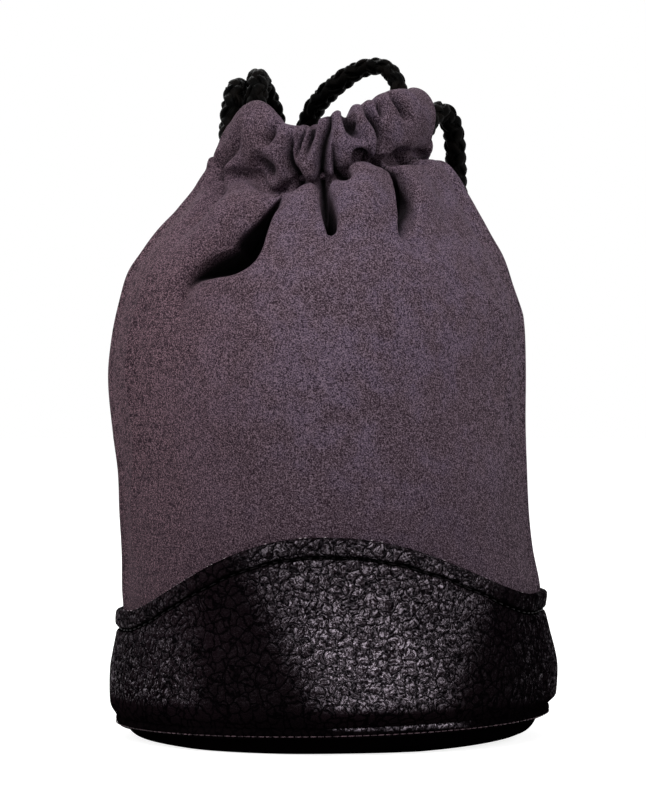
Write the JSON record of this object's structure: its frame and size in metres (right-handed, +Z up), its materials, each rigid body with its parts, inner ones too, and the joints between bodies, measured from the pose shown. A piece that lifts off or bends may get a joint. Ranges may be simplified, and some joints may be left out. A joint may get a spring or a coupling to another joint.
{
  "type": "drawstring lens pouch",
  "caption": "Round soft drawstring pouch: suede body gathered at the neck by braided cords, on a grained leather foot with an arched hem, piping and a padded base.",
  "frame": {"origin": "on the floor, under the middle of the round foot", "axes": "+Z up from the flat underside to the gathered neck, the front at -Y, +X to the front view's right"},
  "size_m": [0.1047, 0.1134, 0.1599],
  "materials": {
    "suede": "purple-grey suede with a short nap",
    "leather": "black pebbled grain, semi-gloss",
    "padding": "grey foam",
    "lining": "dark fine fabric",
    "board": "stiff grey board",
    "cord": "black braided cord with a soft sheen"
  },
  "bodies": {
    "root": {"bottom_panel": "leather", "base_piping": "leather", "base_board": "board", "base_foam": "padding", "base_lining": "lining", "leather_foot_front": "leather", "leather_foot_back": "leather", "suede_front": "suede", "suede_back": "suede", "wall_padding_front": "padding", "wall_padding_back": "padding", "lining_front": "lining", "lining_back": "lining"},
    "front_lip": {"cord_channel_front": "suede", "front_drawcord_run": "cord"},
    "back_lip": {"cord_channel_back": "suede", "back_drawcord_run": "cord", "left_strand_front": "cord", "left_strand_back": "cord", "right_strand_front": "cord", "right_strand_back": "cord", "left_knot": "cord", "right_knot": "cord"}
  },
  "joints": [
    {"name": "mouth_back", "type": "slide", "parent": "root", "child": "back_lip", "axis": [0, 0.9642, 0.2651], "range_m": [0, 0.0207]},
    {"name": "mouth_front", "type": "slide", "parent": "root", "child": "front_lip", "axis": [0, -0.9642, 0.2651], "range_m": [0, 0.0207]}
  ],
  "couplings": [
    {"joint": "mouth_front", "follows": "mouth_back", "ratio": 1}
  ]
}
